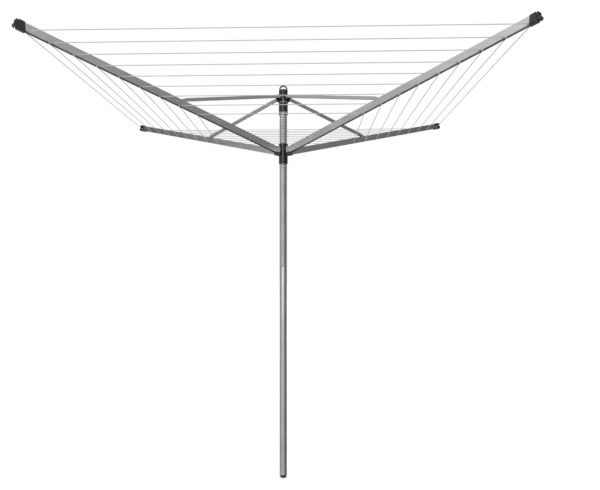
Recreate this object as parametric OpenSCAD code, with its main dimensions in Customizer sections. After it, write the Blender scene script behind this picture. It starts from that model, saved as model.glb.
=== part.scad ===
// Umbrella-type rotary clothesline: a slotted mast carries a sliding head with four
// struts, and a lower hub with four arms that hold nine square loops of line.
// The arms lie along +X, +Y, -X and -Y. Millimetres, +Z up, origin at the mast's foot.

/* [Mast] */
// Outer diameter of the mast tube
mast_d = 41; // [36:0.5:46]
// Wall of the mast tube
mast_wall = 1.6; // [1.2:0.1:3]
// Height of the mast tube's top edge above the foot
mast_top_z = 2117; // [2090:1:2160]
// Diameter of the spigot under the mast
foot_spigot_d = 34; // [30:0.5:36]
// Length of the spigot under the mast
foot_spigot_h = 12; // [8:1:20]
// Length of the foot's journal inside the mast
foot_journal_h = 60; // [30:5:120]
// Distance between two locking slots
slot_pitch = 15.4; // [14:0.1:20]
// Width of a locking slot
slot_w = 13; // [11:0.5:16]
// Height of a locking slot
slot_h = 8; // [6:0.5:10]
// Height of the lowest locking slot
slot_first_z = 1163; // [900:1:1300]

/* [Hubs] */
// Wall of the sleeves that hold the nylon bushes
sleeve_wall = 2.35; // [1.5:0.05:4]
// Distance of the eight pivot pins outside the sleeves
pivot_out = 15.3; // [14.5:0.1:22]
// Distance of the strut pins below the mast's top edge
head_drop = 23; // [18:0.5:40]
// Diameter of the pivot pins
pin_d = 6; // [5:0.5:7]
// Diameter of a pin's domed head
pin_head_d = 10; // [8:0.5:12]
// Thickness of a pin's domed head
pin_head_h = 1.8; // [1:0.2:3]
// Length of the sleeve under the head
upper_sleeve_l = 52; // [40:1:80]
// Length of the sleeve under the lower hub
lower_sleeve_l = 68; // [40:1:90]
// Wall of the nylon bushes that run on the mast
liner_wall = 1.8; // [1.4:0.1:2]

/* [Arms] */
// Slope of the arms above the horizontal when the line is taut
arm_angle = 13.66; // [8:0.01:20]
// Distance of the tip's outer end from the mast's axis
tip_r = 1485; // [1400:1:1600]
// Thickness of the spacers between a strut and the arm's side walls
bush_t = 1.1; // [0.5:0.1:4]
// Height of the arm's section
arm_h = 34; // [33:0.5:40]
// Wall of the arm's section
arm_wall = 1.5; // [1.2:0.1:1.8]
// Depth of the channel under the web that the line runs through
line_channel_h = 7.4; // [7:0.1:8]

/* [Struts] */
// Distance of the strut and arm joint from the mast's axis
joint_r = 700; // [600:1:850]
// Distance of the joint under the arm's own pin, square to the arm
joint_drop = 18.85; // [14:0.05:22]
// Width of the strut tube
strut_w = 14; // [12:0.5:20]
// Height of the strut tube
strut_h = 17; // [15:0.5:18]
// Wall of the strut tube
strut_wall = 1.4; // [1.2:0.1:1.8]
// Radius of the strut's outer eye
strut_eye_r = 6; // [5.5:0.1:6.5]
// Drop of the strut tube's centre under its pin in the head
strut_drop_in = 3; // [2:0.1:4]
// Rise of the strut tube's centre over its pin in the arm
strut_rise_out = 7; // [5:0.1:7.5]

/* [Line] */
// Diameter of the line
line_d = 3.6; // [2.5:0.1:4]
// Distance between two loops along the ground
loop_pitch = 108.1; // [90:0.1:112]
// Distance of the outer loop's corners inward of the tips' outer ends
loop_inset = 38; // [34:1:80]

/* [Fits] */
// Radial clearance of a pin or bush that turns or slides
running_fit = 0.05; // [0.02:0.01:0.09]
// Gap between faces that pass each other
side_gap = 0.4; // [0.3:0.05:0.8]
// Radial gap between the line and the holes that it runs through
line_gap = 0.5; // [0.3:0.1:0.6]

/* [Hidden] */
$fn = 64;
ARMS = [0, 1, 2, 3];
loop_count = 9;
mast_r = mast_d / 2;
mast_bore_r = mast_r - mast_wall;
liner_r = mast_r + running_fit;
hub_bore_r = liner_r + liner_wall;
sleeve_r = hub_bore_r + sleeve_wall;
pivot_r = sleeve_r + pivot_out;
pin_r = pin_d / 2;
pin_hole_r = pin_r + running_fit;

// The linkage: pins at equal radii and equal lengths, so the lower hub rises straight
joint_dx = joint_r - pivot_r;
joint_x = (joint_dx - joint_drop * sin(arm_angle)) / cos(arm_angle);
joint_dz = joint_x * sin(arm_angle) - joint_drop * cos(arm_angle);
link_l = sqrt(joint_dx * joint_dx + joint_dz * joint_dz);
link_angle = atan2(joint_dz, joint_dx);
upper_pivot_z = mast_top_z - head_drop;
lower_pivot_z = upper_pivot_z - 2 * joint_dz;

// Heights of the head, from its pins
head_top_z = upper_pivot_z + 16;
head_bottom_z = upper_pivot_z - 30.5;
seam_h = 2.5;
upper_sleeve_top_z = head_bottom_z - seam_h;
upper_sleeve_z = upper_sleeve_top_z - upper_sleeve_l;
skirt_h = 13.5;
upper_skirt_z = upper_sleeve_z - skirt_h;

// Heights of the lower hub, from its pins
collar_top_z = lower_pivot_z + 23;
collar_z = lower_pivot_z + 10;
flange_top_z = lower_pivot_z - 14;
flange_z = lower_pivot_z - 21;
lower_sleeve_z = flange_z - lower_sleeve_l;
flange_r = sleeve_r + 2.5;
neck_r = hub_bore_r + 1.9;
lug_r = 7;

// The arm's section, measured from its pin along and across the arm
arm_w = strut_w + 2 * (bush_t + side_gap + arm_wall);
channel_w = arm_w - 2 * arm_wall;
web_top = -joint_drop - strut_eye_r - 2 * side_gap;
web_bottom = web_top - arm_wall;
arm_bottom = web_bottom - line_channel_h;
arm_top = arm_bottom + arm_h;
arm_mid = (arm_top + arm_bottom) / 2;
tip_x = (tip_r - pivot_r + arm_mid * sin(arm_angle)) / cos(arm_angle);
tip_l = 39;
tip_slant = 14;
arm_end_x = tip_x - 18;

// The line: its height is set where it crosses the arm's side walls
line_r = line_d / 2;
line_off = (web_bottom + arm_bottom) / 2;
outer_loop_r = tip_r - loop_inset;
wall_mid = (arm_w - arm_wall) / 2;

function loop_r(i) = outer_loop_r - i * loop_pitch;
function loop_z(i) = lower_pivot_z + (loop_r(i) - wall_mid - pivot_r) * tan(arm_angle)
    + line_off / cos(arm_angle);

aluminium = [0.66, 0.66, 0.67];
nylon_black = [0.07, 0.07, 0.08];
nylon_grey = [0.48, 0.48, 0.49];
steel = [0.75, 0.75, 0.76];
line_colour = [0.86, 0.87, 0.87];

// ---- Frames: x runs outward, y across, z up ----

// Arm k's frame: origin on its pin, x along the arm
module on_arm(k) {
    rotate([0, 0, 90 * k])
        translate([pivot_r, 0, lower_pivot_z])
            rotate([0, -arm_angle, 0]) children();
}

// Strut k's frame: origin on its pin, x along the line to its outer pin
module on_strut(k) {
    rotate([0, 0, 90 * k])
        translate([pivot_r, 0, upper_pivot_z])
            rotate([0, link_angle, 0]) children();
}

// ---- Shared shapes ----

module rounded_rect(w, h, r) {
    square([w - 2 * r, h], center = true);
    square([w, h - 2 * r], center = true);
    for (x = [-1, 1], y = [-1, 1])
        translate([x * (w / 2 - r), y * (h / 2 - r)]) circle(r);
}

// A bar along x with the rounded section w across and h high
module bar_x(x0, x1, w, h, r) {
    translate([x0, 0, 0])
        rotate([90, 0, 90]) linear_extrude(x1 - x0) rounded_rect(w, h, r);
}

// A cylinder along y, centred on the x-z plane
module cross_pin(r, l) {
    rotate([90, 0, 0]) cylinder(h = l, r = r, center = true);
}

// A side outline drawn in x and z, w wide across y
module across(w) {
    rotate([90, 0, 0]) linear_extrude(w, center = true) children();
}

module ring(r_out, r_in, z0, z1) {
    translate([0, 0, z0]) rotate_extrude()
        translate([r_in, 0]) square([r_out - r_in, z1 - z0]);
}

// A pin with a domed head at each end, l long between the heads
module headed_pin(l) {
    cross_pin(pin_r, l + 0.2);
    for (s = [-1, 1])
        rotate([s * 90, 0, 0]) translate([0, 0, l / 2]) rotate_extrude() {
            square([pin_head_d / 2 - pin_head_h / 2, pin_head_h]);
            square([pin_head_d / 2, pin_head_h / 2]);
            intersection() {
                translate([pin_head_d / 2 - pin_head_h / 2, pin_head_h / 2]) circle(pin_head_h / 2);
                square([pin_head_d, pin_head_h]);
            }
        }
}

// ---- Mast ----

mast_z = foot_spigot_h + 4;

module foot_plug() {
    color(nylon_black) {
        rotate_extrude() polygon([
            [0, 0], [foot_spigot_d / 2 - 1.5, 0], [foot_spigot_d / 2, 1.5],
            [foot_spigot_d / 2, foot_spigot_h],
            [mast_r, foot_spigot_h], [mast_r, mast_z],
            [mast_bore_r - running_fit, mast_z],
            [mast_bore_r - running_fit, mast_z + foot_journal_h - 4],
            [mast_bore_r - 4, mast_z + foot_journal_h],
            [0, mast_z + foot_journal_h]
        ]);
    }
}

module slot_shape() {
    square([slot_w - slot_h, slot_h], center = true);
    for (s = [-1, 1]) translate([s * (slot_w - slot_h) / 2, 0]) circle(d = slot_h);
}

slot_last_z = upper_skirt_z;
slot_n = floor((slot_last_z - slot_first_z) / slot_pitch);

// The slots stand in one column that faces between two arms
module mast_tube() {
    color(aluminium) difference() {
        ring(mast_r, mast_bore_r, mast_z, mast_top_z);
        for (i = [0 : slot_n])
            translate([0, 0, slot_first_z + i * slot_pitch])
                rotate([90, 0, 45]) linear_extrude(mast_d) slot_shape();
    }
}

cap_h = 16;
cap_spigot_h = 25;
loop_bar = 7;
hanger_r = sleeve_r - 2.2;
hanger_z = mast_top_z + cap_h + 2.5;

// Cap with a D-shaped hanging loop moulded on it
module top_cap() {
    color(nylon_black) difference() {
        union() {
            translate([0, 0, mast_top_z]) rotate_extrude() {
                square([sleeve_r, cap_h - 3]);
                square([sleeve_r - 3, cap_h]);
                translate([sleeve_r - 3, cap_h - 3]) circle(3);
            }
            translate([0, 0, mast_top_z - cap_spigot_h])
                cylinder(h = cap_spigot_h + 1, r = mast_bore_r);
            rotate([0, 0, 45]) intersection() {
                translate([0, 0, hanger_z]) across(loop_bar + 2) circle(hanger_r);
                translate([0, 0, mast_top_z + cap_h / 2 + 50]) cube(100, center = true);
            }
        }
        rotate([0, 0, 45]) intersection() {
            translate([0, 0, hanger_z]) across(loop_bar + 4) circle(hanger_r - loop_bar);
            translate([0, 0, mast_top_z + cap_h + 50]) cube(100, center = true);
        }
    }
}

module thrust_ring() {
    color(nylon_black) ring(sleeve_r - 0.8, mast_r, head_top_z + side_gap, mast_top_z);
}

// ---- Head ----

fin_t = 3.2;
upper_lug_w = strut_w - 2 * strut_wall - 2 * side_gap;

// One low fin outline beside a strut, drawn in x and z from the strut's pin
module fin_outline() {
    inner = hub_bore_r - 6 - pivot_r;
    polygon([
        [inner, -8], [3, -10], [6, -11.5], [6, -15], [-13, -29],
        [inner, head_bottom_z - upper_pivot_z]
    ]);
}

module head_hub() {
    color(nylon_black) difference() {
        union() {
            rotate_extrude() {
                translate([hub_bore_r, head_bottom_z])
                    square([sleeve_r - 2.5 - hub_bore_r, head_top_z - head_bottom_z]);
                translate([hub_bore_r, head_bottom_z + 8])
                    square([sleeve_r - hub_bore_r, head_top_z - head_bottom_z - 10.5]);
                translate([sleeve_r - 2.5, head_top_z - 2.5]) circle(2.5);
            }
            for (k = ARMS) rotate([0, 0, 90 * k]) translate([pivot_r, 0, upper_pivot_z]) {
                cross_pin(lug_r, upper_lug_w);
                translate([(neck_r - 2 - pivot_r) / 2, 0, 0])
                    cube([pivot_r - neck_r + 2, upper_lug_w, 2 * lug_r], center = true);
                for (s = [-1, 1])
                    translate([0, s * (strut_w / 2 + side_gap + fin_t / 2), 0])
                        across(fin_t) fin_outline();
            }
        }
        ring(hub_bore_r, 0, head_bottom_z - 1, head_top_z + 1);
        for (k = ARMS) rotate([0, 0, 90 * k]) translate([pivot_r, 0, upper_pivot_z])
            cross_pin(pin_r, 2 * strut_w);
    }
}

module head_sleeve() {
    color(nylon_black) difference() {
        ring(sleeve_r, hub_bore_r, upper_sleeve_z, upper_sleeve_top_z);
        ring(sleeve_r + 1, sleeve_r - 1.2, upper_sleeve_top_z - 1, upper_sleeve_top_z + 1);
    }
}

// Grey skirt under the head's sleeve, arched on the slots' side and opposite it
module head_skirt() {
    color(nylon_grey) difference() {
        ring(sleeve_r + 0.8, hub_bore_r, upper_skirt_z, upper_sleeve_z);
        translate([0, 0, upper_skirt_z]) rotate([0, 0, 45])
            rotate([90, 0, 0]) cylinder(h = 4 * sleeve_r, r = 11, center = true);
    }
}

module head_liner() {
    color(nylon_grey) ring(hub_bore_r, liner_r, upper_skirt_z + skirt_h, head_top_z);
}

module strut_pins() {
    color(steel) for (k = ARMS)
        rotate([0, 0, 90 * k]) translate([pivot_r, 0, upper_pivot_z])
            cross_pin(pin_r, strut_w + 2 * side_gap - 0.2);
}

// ---- Struts ----

root_slot_x = 15;
taper_x = 60;
eye_x = 20;
eye_relief = 0.1;

// Heights of the tube's underside and top over the line through its pins
function strut_under(x) = -strut_drop_in + (strut_drop_in + strut_rise_out) * x / link_l
    - strut_h / 2;
function strut_over(x) = strut_under(x) + strut_h;

// Side outline of a strut's tube, rounded in the head and tapered in the arm
module strut_outline() {
    root_r = pivot_r - sleeve_r - side_gap;
    intersection() {
        circle(root_r);
        translate([-root_r, strut_under(0)]) square([root_r + 1, strut_h]);
    }
    polygon([
        [0, strut_under(0)], [link_l, strut_under(link_l)], [link_l, strut_eye_r],
        [link_l - taper_x, strut_over(link_l - taper_x)], [0, strut_over(0)]
    ]);
}

// Side outline of the eye under the tube's outer end
module eye_outline() {
    translate([link_l, 0]) circle(strut_eye_r);
    polygon([
        [link_l - eye_x, strut_under(link_l - eye_x)], [link_l, -strut_eye_r],
        [link_l, 2], [link_l - eye_x, 2]
    ]);
}

// A bar along the tube's own centre line
module strut_bar(x0, x1, w, h, r) {
    slope = atan((strut_drop_in + strut_rise_out) / link_l);
    translate([0, 0, -strut_drop_in]) rotate([0, -slope, 0]) bar_x(x0, x1, w, h, r);
}

module strut(k) {
    color(aluminium) on_strut(k) difference() {
        union() {
            intersection() {
                across(strut_w) strut_outline();
                strut_bar(-30, link_l + 30, strut_w, strut_h, 2.5);
            }
            across(strut_w - 2 * eye_relief) eye_outline();
        }
        strut_bar(root_slot_x - 1, link_l - taper_x,
            strut_w - 2 * strut_wall, strut_h - 2 * strut_wall, 1.2);
        translate([root_slot_x - 50, 0, 0])
            cube([100, upper_lug_w + 2 * side_gap, 3 * strut_h], center = true);
        cross_pin(pin_hole_r, 2 * strut_w);
        translate([link_l, 0, 0]) cross_pin(pin_hole_r, 2 * strut_w);
    }
}

// ---- Lower hub ----

collar_r = sleeve_r + 0.8;
saddle_r = 59;
saddle_gap = 0.4;
saddle_t = 3;
saddle_side_h = 6;
lower_lug_w = channel_w - 2;

// Cup under an arm's root: a sloping floor with low sides, rounded at its outer end
module saddle() {
    len = (saddle_r - pivot_r) / cos(arm_angle);
    side_w = arm_w + 2 * side_gap + 6;
    rotate([0, -arm_angle, 0]) translate([0, 0, arm_bottom - saddle_gap]) intersection() {
        difference() {
            translate([-22, -side_w / 2, -saddle_t]) cube([22 + len, side_w, saddle_t + saddle_side_h]);
            translate([-30, -arm_w / 2 - side_gap, 0]) cube([60 + len, arm_w + 2 * side_gap, 40]);
        }
        union() {
            translate([len - side_w / 2, 0, -50]) cylinder(h = 100, d = side_w);
            translate([-50, -side_w / 2, -50]) cube([50 + len - side_w / 2, side_w, 100]);
        }
        across(2 * side_w) {
            translate([len - 12, saddle_side_h - 12]) circle(12);
            translate([-50, -saddle_t]) square([50 + len - 12, saddle_t + saddle_side_h]);
        }
    }
}

// A lug that stands in the saddle and passes up to the pin, from the pin
module lug_outline() {
    inner = neck_r - 2 - pivot_r;
    past_sleeve = sleeve_r + side_gap - pivot_r;
    floor_z = (arm_bottom - saddle_gap - saddle_t / 2) / cos(arm_angle);
    polygon([
        [inner, lug_r], [0, lug_r], [lug_r, 0], [lug_r, floor_z + lug_r * tan(arm_angle)],
        [past_sleeve, floor_z + past_sleeve * tan(arm_angle)],
        [past_sleeve, flange_z - lower_pivot_z], [inner, flange_z - lower_pivot_z]
    ]);
}

module lower_hub() {
    color(nylon_black) difference() {
        union() {
            rotate_extrude() {
                translate([hub_bore_r, flange_z]) square([neck_r - hub_bore_r, collar_top_z - flange_z]);
                translate([hub_bore_r, collar_z])
                    square([collar_r - hub_bore_r, collar_top_z - collar_z - 2.5]);
                translate([collar_r - 2.5, collar_top_z - 2.5]) circle(2.5);
                translate([hub_bore_r, flange_z]) square([flange_r - hub_bore_r, flange_top_z - flange_z]);
                translate([hub_bore_r, flange_z - 24]) square([sleeve_r - 1.5 - hub_bore_r, 25]);
            }
            for (k = ARMS) rotate([0, 0, 90 * k]) {
                translate([pivot_r, 0, lower_pivot_z]) {
                    cross_pin(lug_r, lower_lug_w);
                    saddle();
                }
                translate([pivot_r, 0, lower_pivot_z]) across(lower_lug_w) lug_outline();
            }
        }
        ring(hub_bore_r, 0, flange_z - 60, collar_top_z + 1);
        for (k = ARMS) rotate([0, 0, 90 * k]) translate([pivot_r, 0, lower_pivot_z])
            cross_pin(pin_r, 2 * arm_w);
    }
}

module lower_sleeve() {
    color(nylon_black) difference() {
        ring(sleeve_r, hub_bore_r, lower_sleeve_z, flange_z);
        ring(sleeve_r - 1.5, 0, flange_z - 24, flange_z + 1);
        ring(sleeve_r + 1, sleeve_r - 1, lower_sleeve_z - 1, lower_sleeve_z + 4);
    }
}

module lower_liner() {
    color(nylon_grey) ring(hub_bore_r, liner_r, lower_sleeve_z, collar_top_z);
}

module arm_pins() {
    color(steel) for (k = ARMS)
        rotate([0, 0, 90 * k]) translate([pivot_r, 0, lower_pivot_z])
            headed_pin(arm_w + 2 * side_gap);
}

// ---- Arms ----

ear_r = 7.5;
root_back = pivot_r - flange_r - 2 * side_gap;
web_x = 24;
root_relief = 0.15;

// Outer shape of the arm's section, rounded along the top
module arm_outer() {
    translate([0, arm_mid]) rounded_rect(arm_w, arm_h, 1.2);
    translate([-arm_w / 2, arm_bottom]) square([arm_w, arm_h / 2]);
}

// Room inside the arm: a deep channel over the web, a shallow one under it, and no web
// between the two cheeks of the root, whose inner faces are milled back a little
module arm_room() {
    end = arm_end_x + 10;
    across(channel_w) {
        translate([0, web_top]) square([end, arm_h]);
        translate([0, web_bottom - arm_h]) square([end, arm_h]);
    }
    across(channel_w + 2 * root_relief) translate([-30, arm_bottom - 10]) square([30 + web_x, arm_h + 30]);
}

// Side outline of the arm, cut back under its pin so that it swings clear of the saddle
module arm_outline() {
    reach = -arm_bottom;
    polygon([
        [-root_back, -sqrt(reach * reach - root_back * root_back)],
        [-root_back / 2, -sqrt(reach * reach - root_back * root_back / 4)],
        [0, arm_bottom], [arm_end_x, arm_bottom],
        [arm_end_x, arm_top], [-root_back, arm_top]
    ]);
}

module arm(k) {
    color(aluminium) difference() {
        on_arm(k) difference() {
            union() {
                intersection() {
                    translate([-20, 0, 0])
                        rotate([90, 0, 90]) linear_extrude(arm_end_x + 40) arm_outer();
                    across(2 * arm_w) arm_outline();
                }
                cross_pin(ear_r, arm_w);
            }
            arm_room();
            cross_pin(pin_hole_r, 2 * arm_w);
            translate([joint_x, 0, -joint_drop]) cross_pin(pin_r, 2 * arm_w);
        }
        for (i = [0 : loop_count - 1]) line_corner(i, k, line_r + line_gap);
    }
}

tip_wall = 2.5;
tip_over = 3;
tip_under = 5;
tip_top = arm_top + tip_over;
tip_bottom = arm_bottom - tip_under;
tip_w = arm_w + 2 * tip_wall;
tip_h = tip_top - tip_bottom;
lip_x = tip_x - 8;
groove_x = tip_x - 16;
lobe_r = 9;

// Moulded tip: a sock over the arm's end, a groove and a lip with two lobes
module arm_tip(k) {
    color(nylon_black) difference() {
        on_arm(k) difference() {
            union() {
                intersection() {
                    translate([0, 0, (tip_top + tip_bottom) / 2])
                        bar_x(tip_x - 80, groove_x, tip_w, tip_h, 4);
                    across(2 * tip_w) polygon([
                        [tip_x - tip_l, tip_top + 1], [groove_x + 1, tip_top + 1],
                        [groove_x + 1, tip_bottom - 1], [tip_x - tip_l - tip_slant, tip_bottom - 1]
                    ]);
                }
                translate([0, 0, arm_mid]) bar_x(groove_x - 1, lip_x + 2, arm_w - 1, arm_h - 2, 3);
                intersection() {
                    translate([0, 0, (tip_top + tip_bottom) / 2])
                        bar_x(lip_x - 12, tip_x + 2, tip_w + 1, tip_h, 6);
                    across(2 * tip_w) lip_outline();
                }
            }
            translate([tip_x - 90, 0, 0])
                rotate([90, 0, 90]) linear_extrude(arm_end_x - tip_x + 90) arm_outer();
        }
        for (i = [0 : loop_count - 1]) line_corner(i, k, line_r + line_gap);
    }
}

// Side outline of the lip: the lower lobe reaches further out, and slopes off below
module lip_outline() {
    translate([tip_x - 4 - lobe_r, tip_top - lobe_r]) intersection() {
        circle(lobe_r);
        translate([lip_x - tip_x + 4 + lobe_r, -lobe_r]) square(2 * lobe_r);
    }
    translate([tip_x - lobe_r, tip_bottom + lobe_r + 4]) intersection() {
        circle(lobe_r);
        translate([lip_x - tip_x + lobe_r, -lobe_r]) square(2 * lobe_r);
    }
    polygon([
        [lip_x - 1, tip_bottom + 1], [lip_x + 3, tip_bottom + 5],
        [lip_x + 3, tip_top - 4], [lip_x - 1, tip_top]
    ]);
}

module joint_pin(k) {
    color(steel) on_arm(k) translate([joint_x, 0, -joint_drop]) headed_pin(arm_w);
}

// Nylon spacers on both sides of the strut, inside the arm's channel
module joint_bushes(k) {
    color(nylon_black) on_arm(k) translate([joint_x, 0, -joint_drop])
        for (s = [-1, 1]) translate([0, s * (channel_w - bush_t) / 2, 0]) difference() {
            cross_pin(strut_eye_r, bush_t);
            cross_pin(pin_r, 2 * bush_t);
        }
}

// ---- Line ----

// Room for loop i's corner inside arm k: two slots that leave at 45 degrees
module line_corner(i, k, r) {
    rotate([0, 0, 90 * k]) translate([loop_r(i), 0, loop_z(i)])
        linear_extrude(2 * r, center = true)
            for (s = [-1, 1]) rotate(180 + s * 45) translate([-r, -r]) square([60, 2 * r]);
}

module line_loop(i) {
    side = loop_r(i) * sqrt(2);
    color(line_colour) for (k = ARMS)
        rotate([0, 0, 90 * k]) translate([loop_r(i), 0, loop_z(i)]) {
            sphere(line_r + 0.3);
            rotate([0, 0, 135]) rotate([0, 90, 0]) cylinder(h = side, r = line_r);
        }
}

foot_plug();
mast_tube();
top_cap();
thrust_ring();
head_hub();
head_sleeve();
head_skirt();
head_liner();
strut_pins();
lower_hub();
lower_sleeve();
lower_liner();
arm_pins();
for (k = ARMS) strut(k);
for (k = ARMS) arm(k);
for (k = ARMS) arm_tip(k);
for (k = ARMS) joint_pin(k);
for (k = ARMS) joint_bushes(k);
for (i = [0 : loop_count - 1]) line_loop(i);
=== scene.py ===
"""Rotary clothesline: materials, line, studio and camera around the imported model.

Lengths are in metres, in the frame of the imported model: +Z up, the arms along +X, +Y, -X, -Y.
"""

import math

import bmesh
import bpy
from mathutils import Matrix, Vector


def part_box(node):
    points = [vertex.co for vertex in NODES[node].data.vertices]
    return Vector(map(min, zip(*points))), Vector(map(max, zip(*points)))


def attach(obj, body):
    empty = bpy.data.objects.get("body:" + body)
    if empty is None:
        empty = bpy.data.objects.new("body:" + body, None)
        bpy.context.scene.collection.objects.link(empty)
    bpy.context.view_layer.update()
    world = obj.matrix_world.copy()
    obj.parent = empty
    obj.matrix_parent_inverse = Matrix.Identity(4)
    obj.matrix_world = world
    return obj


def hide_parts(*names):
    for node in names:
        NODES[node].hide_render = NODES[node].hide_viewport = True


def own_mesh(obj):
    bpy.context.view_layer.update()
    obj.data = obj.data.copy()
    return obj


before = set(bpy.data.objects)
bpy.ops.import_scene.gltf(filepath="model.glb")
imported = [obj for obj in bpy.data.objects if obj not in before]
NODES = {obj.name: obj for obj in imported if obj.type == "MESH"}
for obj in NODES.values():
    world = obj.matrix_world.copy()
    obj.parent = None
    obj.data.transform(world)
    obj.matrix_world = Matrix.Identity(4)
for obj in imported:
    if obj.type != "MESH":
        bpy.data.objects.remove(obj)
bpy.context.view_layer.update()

ARM_COUNT = 4
LOOP_COUNT = 9


# ---------------------------------------------------------------- materials


def new_material(name):
    """An empty node material and its Principled shader."""
    mat = bpy.data.materials.new(name)
    mat.use_nodes = True
    return mat, mat.node_tree.nodes["Principled BSDF"]


def add(mat, kind, **settings):
    """One shader node with its settings or input values."""
    node = mat.node_tree.nodes.new(kind)
    for key, value in settings.items():
        if key in node.inputs:
            node.inputs[key].default_value = value
        else:
            setattr(node, key, value)
    return node


def link(mat, source, output, target, socket):
    mat.node_tree.links.new(source.outputs[output], target.inputs[socket])


def ramp(mat, low, high, dark, light):
    """A ColorRamp from one colour at low to another at high."""
    node = add(mat, "ShaderNodeValToRGB")
    node.color_ramp.elements[0].position = low
    node.color_ramp.elements[1].position = high
    node.color_ramp.elements[0].color = (*dark, 1)
    node.color_ramp.elements[1].color = (*light, 1)
    return node


def map_range(mat, low, high):
    """A Map Range from 0..1 to low..high."""
    node = add(mat, "ShaderNodeMapRange")
    node.inputs["To Min"].default_value = low
    node.inputs["To Max"].default_value = high
    return node


def stretched(mat, scale):
    """Object coordinates scaled per axis, for grain that runs one way."""
    coords = add(mat, "ShaderNodeTexCoord")
    mapping = add(mat, "ShaderNodeMapping", Scale=scale)
    link(mat, coords, "Object", mapping, "Vector")
    return mapping


def metal(name, base, dark, grain, rough, metallic=1.0, bump=0.15):
    """Drawn or extruded metal: fine grain along one axis and faint blotches."""
    mat, shader = new_material(name)
    shader.inputs["Metallic"].default_value = metallic
    fine = add(mat, "ShaderNodeTexNoise", Scale=1.0, Detail=6.0, Roughness=0.65)
    link(mat, stretched(mat, grain), "Vector", fine, "Vector")
    cloud = add(mat, "ShaderNodeTexNoise", Scale=9.0, Detail=3.0)
    link(mat, stretched(mat, (1, 1, 1)), "Vector", cloud, "Vector")
    mix = add(mat, "ShaderNodeMath", operation="MULTIPLY")
    link(mat, fine, "Fac", mix, 0)
    link(mat, cloud, "Fac", mix, 1)
    tone = ramp(mat, 0.12, 0.42, dark, base)
    link(mat, mix, "Value", tone, "Fac")
    link(mat, tone, "Color", shader, "Base Color")
    rough_map = map_range(mat, rough[0], rough[1])
    link(mat, cloud, "Fac", rough_map, "Value")
    link(mat, rough_map, "Result", shader, "Roughness")
    relief = add(mat, "ShaderNodeBump", Strength=bump, Distance=0.0002)
    link(mat, fine, "Fac", relief, "Height")
    link(mat, relief, "Normal", shader, "Normal")
    return mat


def plastic(name, base, worn, rough, grain=900.0, bump=0.12, coat=0.0, specular=0.5):
    """Moulded plastic: spark-eroded grain, slightly paler in random patches."""
    mat, shader = new_material(name)
    cell = add(mat, "ShaderNodeTexNoise", Scale=grain, Detail=2.0)
    link(mat, stretched(mat, (1, 1, 1)), "Vector", cell, "Vector")
    cloud = add(mat, "ShaderNodeTexNoise", Scale=22.0, Detail=4.0)
    link(mat, stretched(mat, (1, 1, 1)), "Vector", cloud, "Vector")
    tone = ramp(mat, 0.35, 0.75, base, worn)
    link(mat, cloud, "Fac", tone, "Fac")
    link(mat, tone, "Color", shader, "Base Color")
    rough_map = map_range(mat, rough[0], rough[1])
    link(mat, cloud, "Fac", rough_map, "Value")
    link(mat, rough_map, "Result", shader, "Roughness")
    shader.inputs["Specular IOR Level"].default_value = specular
    shader.inputs["Coat Weight"].default_value = coat
    shader.inputs["Coat Roughness"].default_value = 0.12
    relief = add(mat, "ShaderNodeBump", Strength=bump, Distance=0.0001)
    link(mat, cell, "Fac", relief, "Height")
    link(mat, relief, "Normal", shader, "Normal")
    return mat


def cord_material():
    """Smooth plastic-coated line with a faint twist of the core showing through."""
    mat, shader = new_material("coated_line")
    wave = add(mat, "ShaderNodeTexNoise", Scale=260.0, Detail=2.0)
    link(mat, stretched(mat, (1, 1, 1)), "Vector", wave, "Vector")
    tone = ramp(mat, 0.3, 0.7, (0.26, 0.27, 0.28), (0.36, 0.37, 0.38))
    link(mat, wave, "Fac", tone, "Fac")
    link(mat, tone, "Color", shader, "Base Color")
    rough_map = map_range(mat, 0.32, 0.5)
    link(mat, wave, "Fac", rough_map, "Value")
    link(mat, rough_map, "Result", shader, "Roughness")
    relief = add(mat, "ShaderNodeBump", Strength=0.2, Distance=0.0002)
    link(mat, wave, "Fac", relief, "Height")
    link(mat, relief, "Normal", shader, "Normal")
    return mat


ALONG_X = (3, 420, 420)
ALONG_Y = (420, 3, 420)
ALONG_Z = (420, 420, 3)

EVENLY = (90, 90, 90)

ANODISED = (0.52, 0.52, 0.53)
ANODISED_DARK = (0.40, 0.40, 0.41)
ANODISED_ROUGH = (0.22, 0.34)

mast_metal = metal(
    "drawn_aluminium_mast", (0.50, 0.50, 0.51), (0.36, 0.36, 0.37), ALONG_Z, (0.26, 0.36)
)
arm_metal = {
    "x": metal("anodised_aluminium_x", ANODISED, ANODISED_DARK, ALONG_X, ANODISED_ROUGH),
    "y": metal("anodised_aluminium_y", ANODISED, ANODISED_DARK, ALONG_Y, ANODISED_ROUGH),
}
pin_steel = metal(
    "zinc_plated_steel", (0.62, 0.62, 0.63), (0.46, 0.46, 0.48), EVENLY, (0.25, 0.4)
)
black_nylon = plastic(
    "black_nylon",
    (0.004, 0.004, 0.005),
    (0.009, 0.009, 0.01),
    (0.18, 0.28),
    coat=0.5,
    specular=0.16,
)
grey_nylon = plastic("grey_nylon", (0.17, 0.17, 0.175), (0.22, 0.22, 0.225), (0.4, 0.55))
coated_line = cord_material()


def dress(name, mat):
    """Gives a CAD node its material."""
    materials = NODES[name].data.materials
    materials.clear()
    materials.append(mat)


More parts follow.
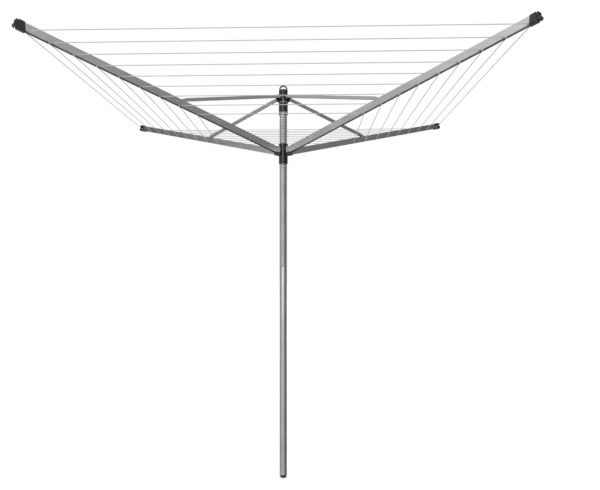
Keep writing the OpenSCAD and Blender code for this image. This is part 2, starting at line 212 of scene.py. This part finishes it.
for name in (
    "foot_plug", "top_cap", "thrust_ring", "head_hub", "head_sleeve", "lower_hub", "lower_sleeve",
):
    dress(name, black_nylon)
for name in ("head_skirt", "head_liner", "lower_liner"):
    dress(name, grey_nylon)
for name in ("strut_pins", "arm_pins"):
    dress(name, pin_steel)
dress("mast_tube", mast_metal)
for k in range(1, ARM_COUNT + 1):
    along = "x" if k % 2 else "y"
    dress(f"strut_{k}", arm_metal[along])
    dress(f"arm_{k}", arm_metal[along])
    dress(f"arm_tip_{k}", black_nylon)
    dress(f"joint_pin_{k}", pin_steel)
    dress(f"joint_bushes_{k}", black_nylon)


# ---------------------------------------------------------------- line

LINE_RADIUS = 0.0018
LINE_SIDES = 10
LINE_RINGS = 28
# How far the line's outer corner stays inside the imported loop's box
CORNER_INSET = 0.0003


def tube(name, start, end, radius):
    """A straight line from start to end, closed at both ends."""
    along = (end - start).normalized()
    side = along.cross(Vector((0, 0, 1))).normalized()
    up = side.cross(along)
    mesh = bmesh.new()
    rings = []
    for i in range(LINE_RINGS + 1):
        centre = start.lerp(end, i / LINE_RINGS)
        ring = []
        for s in range(LINE_SIDES):
            a = 2 * math.pi * s / LINE_SIDES
            ring.append(mesh.verts.new(centre + radius * (math.cos(a) * side + math.sin(a) * up)))
        rings.append(ring)
    for a, b in zip(rings, rings[1:]):
        for s in range(LINE_SIDES):
            n = (s + 1) % LINE_SIDES
            mesh.faces.new((a[s], a[n], b[n], b[s]))
    mesh.faces.new(list(reversed(rings[0])))
    mesh.faces.new(rings[-1])
    bmesh.ops.recalc_face_normals(mesh, faces=mesh.faces)
    data = bpy.data.meshes.new(name)
    mesh.to_mesh(data)
    mesh.free()
    for face in data.polygons:
        face.use_smooth = True
    obj = bpy.data.objects.new(name, data)
    bpy.context.collection.objects.link(obj)
    obj.data.materials.append(coated_line)
    return obj


def half_side(loop, k, turn):
    """Half a side of a loop: from arm k's corner to the middle of the side."""
    low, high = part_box(f"line_loop_{loop}")
    start_r = high[0] - LINE_RADIUS - CORNER_INSET
    level = (low[2] + high[2]) / 2
    out = Vector((math.cos(k * math.pi / 2), math.sin(k * math.pi / 2), 0))
    across = Vector((-out.y, out.x, 0)) * turn
    start = out * start_r + Vector((0, 0, level))
    middle = (out + across) * (start_r / 2) + Vector((0, 0, level))
    side = "left" if turn > 0 else "right"
    piece = tube(f"line_{loop}_arm_{k + 1}_{side}", start, middle, LINE_RADIUS)
    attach(piece, f"arm_{k + 1}")
    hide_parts(f"line_loop_{loop}")
    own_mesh(piece)


for loop in range(1, LOOP_COUNT + 1):
    for k in range(ARM_COUNT):
        for turn in (-1, 1):
            half_side(loop, k, turn)


# ---------------------------------------------------------------- studio


FLOOR_SIZE = 60.0
FLOOR_Z = -0.0005
GLOW_GROUND_Z = 0.001


def plane(name, size, z):
    mesh = bpy.data.meshes.new(name)
    h = size / 2
    mesh.from_pydata([(-h, -h, z), (h, -h, z), (h, h, z), (-h, h, z)], [], [(0, 1, 2, 3)])
    obj = bpy.data.objects.new(name, mesh)
    bpy.context.collection.objects.link(obj)
    return obj


floor = plane("studio_floor", FLOOR_SIZE, FLOOR_Z)
floor_mat, floor_shader = new_material("pale_floor")
floor_shader.inputs["Base Color"].default_value = (0.93, 0.93, 0.93, 1)
floor_shader.inputs["Roughness"].default_value = 0.9
floor_shader.inputs["Specular IOR Level"].default_value = 0.1
floor_shader.inputs["Emission Color"].default_value = (1, 1, 1, 1)
floor_shader.inputs["Emission Strength"].default_value = 0.2
floor.data.materials.append(floor_mat)

world = bpy.data.worlds.new("studio_world")
world.use_nodes = True
world.node_tree.nodes["Background"].inputs["Color"].default_value = (1.0, 1.0, 1.0, 1)
world.node_tree.nodes["Background"].inputs["Strength"].default_value = 1.0
bpy.context.scene.world = world

CAMERA_AZIMUTH = math.radians(47.09)
CAMERA_DISTANCE = 3.7307
CAMERA_HEIGHT = 1.1623
CAMERA_PITCH = math.radians(0.355)
CAMERA_SHIFT = (0.0278, 0.0277)
FOCAL_SHARE = 1.1275
SENSOR = 36.0

camera_data = bpy.data.cameras.new("camera")
camera = bpy.data.objects.new("camera", camera_data)
bpy.context.collection.objects.link(camera)
camera.location = (
    CAMERA_DISTANCE * math.sin(CAMERA_AZIMUTH),
    -CAMERA_DISTANCE * math.cos(CAMERA_AZIMUTH),
    CAMERA_HEIGHT,
)
camera.rotation_euler = (math.pi / 2 + CAMERA_PITCH, 0, CAMERA_AZIMUTH)
camera_data.sensor_width = SENSOR
camera_data.lens = SENSOR * FOCAL_SHARE
camera_data.shift_x, camera_data.shift_y = CAMERA_SHIFT
camera_data.clip_end = 200.0
bpy.context.scene.camera = camera


def area_light(name, location, target, size, power):
    data = bpy.data.lights.new(name, "AREA")
    data.shape = "RECTANGLE"
    data.size, data.size_y = size
    data.energy = power
    obj = bpy.data.objects.new(name, data)
    obj.location = location
    obj.rotation_euler = (Vector(target) - Vector(location)).to_track_quat("-Z", "Y").to_euler()
    bpy.context.collection.objects.link(obj)


def around(azimuth_deg, distance, height):
    """A point at an azimuth from the camera's, positive to the right as the camera sees it."""
    a = CAMERA_AZIMUTH + math.radians(azimuth_deg)
    return (distance * math.sin(a), -distance * math.cos(a), height)


# Radiance of the wall round the product, by azimuth from the camera, for a low and a high band.
# Reflections alone see it. The values are chosen for the front view.
WALL_RADIUS = 6.0
WALL_LOW = (
    (-180, 0.9), (-135, 0.6), (-120, 0.06), (-113, 0.06), (-108, 0.26), (-101, 0.72), (-94, 0.8),
    (-82, 0.85), (-54, 0.98), (-30, 0.96), (22, 0.96), (31, 0.26), (72, 0.24), (80, 0.34),
    (97, 0.3), (106, 0.12), (116, 0.6), (130, 0.75), (180, 0.9),
)
WALL_HIGH = (
    (-180, 1.0), (-140, 0.6), (-122, 0.1), (-113, 0.12), (-106, 0.3), (-99, 0.62), (-90, 0.85),
    (-84, 0.64), (-78, 0.84), (-72, 1.18), (-65, 1.42), (-50, 1.3), (-30, 1.0), (40, 1.0),
    (56, 0.9), (62, 0.62), (68, 0.42), (75, 0.52), (82, 0.64), (90, 0.42), (97, 0.26),
    (104, 0.06), (118, 0.06), (135, 0.6), (180, 1.0),
)
# Heights of the wall's rings, with the high band's share at each
WALL_LEVELS = ((-1.0, 0.0), (2.9, 0.0), (3.5, 1.0), (7.0, 1.0))


def at(table, value):
    """Straight-line reading of a table of (key, value) pairs."""
    for (a, va), (b, vb) in zip(table, table[1:]):
        if a <= value <= b:
            return va + (vb - va) * (value - a) / (b - a)
    return table[-1][1]


def glow(name, verts, faces, radiance):
    """A stage surface that glows, seen by reflections only, with one radiance per vertex."""
    mesh = bpy.data.meshes.new(name)
    mesh.from_pydata(verts, [], faces)
    layer = mesh.attributes.new("radiance", "FLOAT", "POINT")
    layer.data.foreach_set("value", radiance)
    obj = bpy.data.objects.new(name, mesh)
    bpy.context.collection.objects.link(obj)
    mat, shader = new_material(name)
    shader.inputs["Base Color"].default_value = (0, 0, 0, 1)
    shader.inputs["Specular IOR Level"].default_value = 0.0
    shader.inputs["Emission Color"].default_value = (1, 1, 1, 1)
    reading = add(mat, "ShaderNodeAttribute", attribute_name="radiance")
    link(mat, reading, "Fac", shader, "Emission Strength")
    obj.data.materials.append(mat)
    for kind in ("camera", "diffuse", "transmission", "shadow", "volume_scatter"):
        setattr(obj, f"visible_{kind}", False)


wall_azimuths = range(-180, 181, 4)
wall_verts = [around(a, WALL_RADIUS, z) for z, _ in WALL_LEVELS for a in wall_azimuths]
wall_glow = [
    at(WALL_LOW, a) * (1 - share) + at(WALL_HIGH, a) * share
    for _, share in WALL_LEVELS
    for a in wall_azimuths
]
row = len(wall_azimuths)
wall_faces = [
    (r * row + i, r * row + i + 1, (r + 1) * row + i + 1, (r + 1) * row + i)
    for r in range(len(WALL_LEVELS) - 1)
    for i in range(row - 1)
]
glow("studio_wall", wall_verts, wall_faces, wall_glow)

# The same for the ground, as a ring round the mast's foot
GROUND = (
    (-180, 0.2), (-172, 0.2), (-165, 0.36), (-110, 0.36), (-84, 0.8), (20, 0.9), (30, 0.26),
    (96, 0.26), (110, 0.7), (126, 0.36), (165, 0.36), (172, 0.2), (180, 0.2),
)
GROUND_RADII = (0.05, 5.0)
ground_verts = [
    around(a, radius, GLOW_GROUND_Z) for radius in GROUND_RADII for a in wall_azimuths
]
ground_faces = [(i, i + 1, row + i + 1, row + i) for i in range(row - 1)]
glow("studio_ground", ground_verts, ground_faces, [at(GROUND, a) for a in wall_azimuths] * 2)

area_light("key", around(-14, 5.0, 2.3), (0, 0, 1.9), (0.5, 3.0), 62)

bpy.context.scene.view_settings.view_transform = "Standard"
